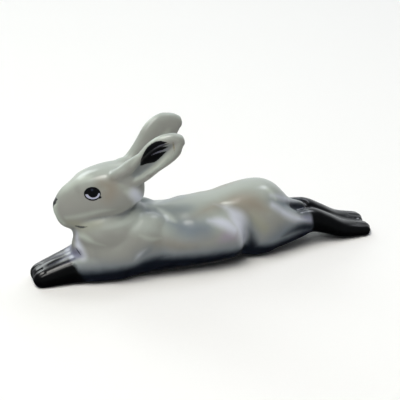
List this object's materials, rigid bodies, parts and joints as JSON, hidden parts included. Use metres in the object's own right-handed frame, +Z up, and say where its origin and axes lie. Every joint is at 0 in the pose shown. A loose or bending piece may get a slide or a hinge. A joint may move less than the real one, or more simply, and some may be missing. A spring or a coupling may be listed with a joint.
{
  "type": "hare figurine",
  "caption": "Glazed porcelain hare lying at full stretch with raised head, swept-back ears and black paws.",
  "frame": {"origin": "middle of the footprint, on the plane the hare lies on", "axes": "+X from the nose to the hind toes, so the hare faces -X; its left side is towards -Y; +Z up"},
  "size_m": [0.2008, 0.0448, 0.0878],
  "materials": {
    "glazed porcelain": "clear glossy glaze over underglaze colour on white porcelain"
  },
  "bodies": {
    "root": {"hare": "glazed porcelain"}
  },
  "joints": []
}
